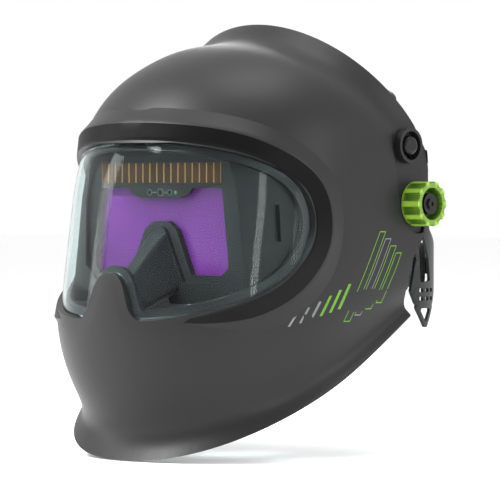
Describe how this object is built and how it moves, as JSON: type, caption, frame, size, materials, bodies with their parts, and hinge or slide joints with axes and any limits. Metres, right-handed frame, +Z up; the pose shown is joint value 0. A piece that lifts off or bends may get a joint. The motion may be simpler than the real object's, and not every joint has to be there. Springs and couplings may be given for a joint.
{
  "type": "welding helmet",
  "caption": "Auto-darkening welding helmet: one-piece shell with a wraparound clear window, filter cassette, outside shade knob and ratchet headgear it tilts up on.",
  "frame": {"origin": "middle of the axis on which the helmet tilts on its headgear", "axes": "the wearer looks along -Y, +X is the wearer's left and +Z is up"},
  "size_m": [0.2324, 0.3042, 0.3039],
  "materials": {
    "shell_black": "satin",
    "clear_lens": "polished",
    "filter_purple": "polished",
    "solar_amber": "gloss",
    "cassette_black": "fine grain",
    "carrier_grey": "fine grain",
    "sensor_dark": "gloss",
    "led_green": "gloss",
    "board_green": "solder mask",
    "battery_foil": "foil",
    "steel": "zinc plated",
    "green_plastic": "satin",
    "black_plastic": "satin",
    "headgear_grey": "fine grain",
    "cable_black": "smooth",
    "sweatband_cloth": "terry cloth"
  },
  "bodies": {
    "headgear": {"headband_front": "headgear_grey", "sweatband": "sweatband_cloth", "side_plate_left": "headgear_grey", "side_plate_right": "headgear_grey", "headgear_rivets": "steel", "crown_strap_front": "headgear_grey", "crown_strap_rear": "headgear_grey", "nape_strap_left": "headgear_grey", "nape_strap_right": "headgear_grey", "ratchet_base": "black_plastic", "ratchet_housing": "black_plastic", "ratchet_cover": "black_plastic", "ratchet_screws": "steel", "nape_pad": "sweatband_cloth"},
    "left_carriage": {"carriage_left": "headgear_grey", "pivot_peg_left": "black_plastic", "tilt_stop_left": "black_plastic"},
    "right_carriage": {"carriage_right": "headgear_grey", "pivot_peg_right": "black_plastic", "tilt_stop_right": "black_plastic"},
    "left_lock": {"distance_lock_left": "green_plastic"},
    "right_lock": {"distance_lock_right": "green_plastic"},
    "helmet": {"helmet_shell": "shell_black", "front_cover_lens": "clear_lens", "inner_cover_lens": "clear_lens", "filter_glass": "filter_purple", "solar_cell_strip": "solar_amber", "filter_housing": "cassette_black", "filter_lid": "cassette_black", "nose_bridge": "cassette_black", "cassette_clips": "cassette_black", "cable_clips": "cassette_black", "filter_carrier": "carrier_grey", "photo_sensors": "sensor_dark", "infrared_sensor": "sensor_dark", "status_led": "led_green", "circuit_board": "board_green", "lipo_battery": "battery_foil", "usb_socket": "steel", "carrier_screws": "steel", "filter_screws": "steel", "potentiometer_nut": "steel", "sensitivity_trimmer": "black_plastic", "delay_trimmer": "black_plastic", "potentiometer": "black_plastic", "signal_cable": "cable_black"},
    "shade_control": {"shade_knob": "green_plastic", "potentiometer_shaft": "steel", "button_spring": "steel"},
    "grind_button": {"grind_button": "black_plastic"},
    "sensitivity": {"sensitivity_knob": "black_plastic"},
    "delay": {"delay_knob": "black_plastic"},
    "size_knob": {"ratchet_knob": "black_plastic", "pinion": "black_plastic", "pawl_spring": "black_plastic"},
    "left_rack": {"rack_left": "headgear_grey"},
    "right_rack": {"rack_right": "headgear_grey"}
  },
  "joints": [
    {"name": "fore_aft_left", "type": "slide", "parent": "headgear", "child": "left_carriage", "axis": [0, -1, 0], "range_m": [-0.01, 0.01]},
    {"name": "fore_aft_right", "type": "slide", "parent": "headgear", "child": "right_carriage", "axis": [0, -1, 0], "range_m": [-0.01, 0.01]},
    {"name": "left_lock_pull", "type": "slide", "parent": "left_carriage", "child": "left_lock", "axis": [1, 0, 0], "range_m": [0, 0.002], "stiffness_N_per_m": 400, "springref_m": -0.002},
    {"name": "right_lock_pull", "type": "slide", "parent": "right_carriage", "child": "right_lock", "axis": [-1, 0, 0], "range_m": [0, 0.002], "stiffness_N_per_m": 400, "springref_m": -0.002},
    {"name": "helmet_tilt", "type": "hinge", "parent": "left_carriage", "child": "helmet", "pos_m": [0, 0, 0], "axis": [-1, 0, 0], "range_deg": [0, 65]},
    {"name": "shade_turn", "type": "hinge", "parent": "helmet", "child": "shade_control", "pos_m": [0.105, 0.011, -0.041], "axis": [1, 0, 0], "range_deg": [-135, 135]},
    {"name": "grind_press", "type": "slide", "parent": "shade_control", "child": "grind_button", "axis": [-1, 0, 0], "range_m": [0, 0.0015], "stiffness_N_per_m": 600, "springref_m": -0.001, "deforming": ["button_spring"]},
    {"name": "sensitivity_turn", "type": "hinge", "parent": "helmet", "child": "sensitivity", "pos_m": [-0.04, -0.127, -0.0185], "axis": [0, 1, 0], "range_deg": [-135, 135]},
    {"name": "delay_turn", "type": "hinge", "parent": "helmet", "child": "delay", "pos_m": [-0.02, -0.127, -0.0185], "axis": [0, 1, 0], "range_deg": [-135, 135]},
    {"name": "size_turn", "type": "hinge", "parent": "headgear", "child": "size_knob", "pos_m": [0, 0.1, -0.086], "axis": [0, 1, 0], "range_deg": [-57, 57], "deforming": ["pawl_spring"]},
    {"name": "left_rack_slide", "type": "slide", "parent": "headgear", "child": "left_rack", "axis": [1, 0, 0], "range_m": [-0.006, 0.006], "deforming": ["nape_strap_left"]},
    {"name": "right_rack_slide", "type": "slide", "parent": "headgear", "child": "right_rack", "axis": [-1, 0, 0], "range_m": [-0.006, 0.006], "deforming": ["nape_strap_right"]}
  ],
  "couplings": [
    {"joint": "fore_aft_right", "follows": "fore_aft_left", "ratio": 1},
    {"joint": "left_rack_slide", "follows": "size_turn", "m_per_rad": 0.006},
    {"joint": "right_rack_slide", "follows": "size_turn", "m_per_rad": 0.006}
  ]
}
